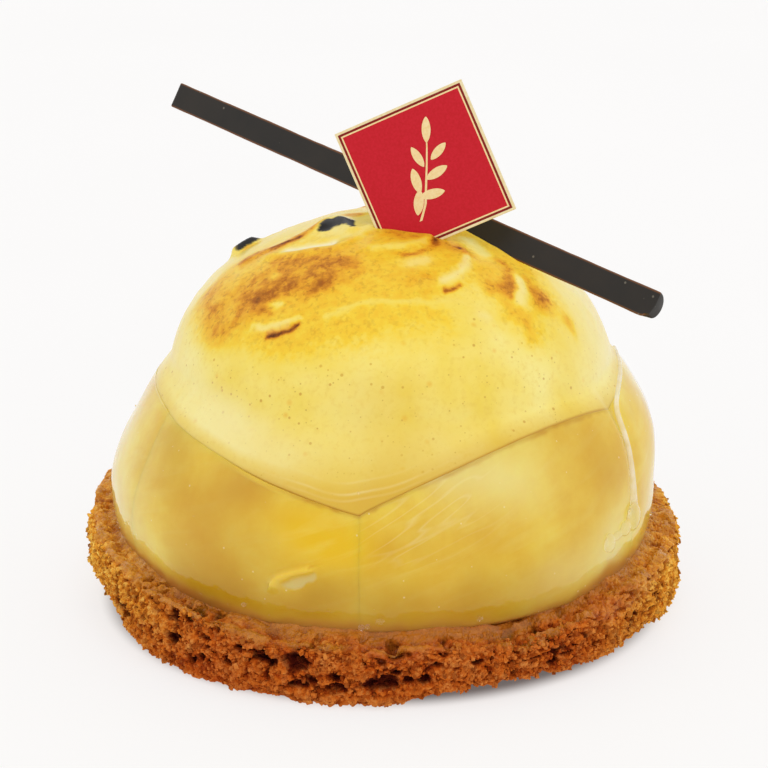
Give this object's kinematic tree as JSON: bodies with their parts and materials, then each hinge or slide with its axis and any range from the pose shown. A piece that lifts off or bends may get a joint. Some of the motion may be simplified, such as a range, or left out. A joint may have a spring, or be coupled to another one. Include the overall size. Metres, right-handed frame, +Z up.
{
  "type": "pear tart",
  "caption": "Small round pear tart: crumbly biscuit base, glazed poached pear pieces, dome of torched cream, with a chocolate stick and a small square card on top.",
  "frame": {"origin": "centre of the flat underside of the biscuit base", "axes": "+Z up; -Y towards the front, the side the picture shows; +X to the right as seen from the front"},
  "size_m": [0.0834, 0.0836, 0.0741],
  "materials": {
    "biscuit": "dry, crumbly",
    "pear": "glazed, wet",
    "cream": "smooth, glazed, torched on top",
    "chocolate": "satin",
    "card": "coated"
  },
  "bodies": {
    "root": {"crust": "biscuit", "pear_1": "pear", "pear_2": "pear", "pear_3": "pear", "pear_4": "pear", "pear_5": "pear", "pear_6": "pear", "cream": "cream", "chocolate_stick": "chocolate", "card": "card"}
  },
  "joints": []
}
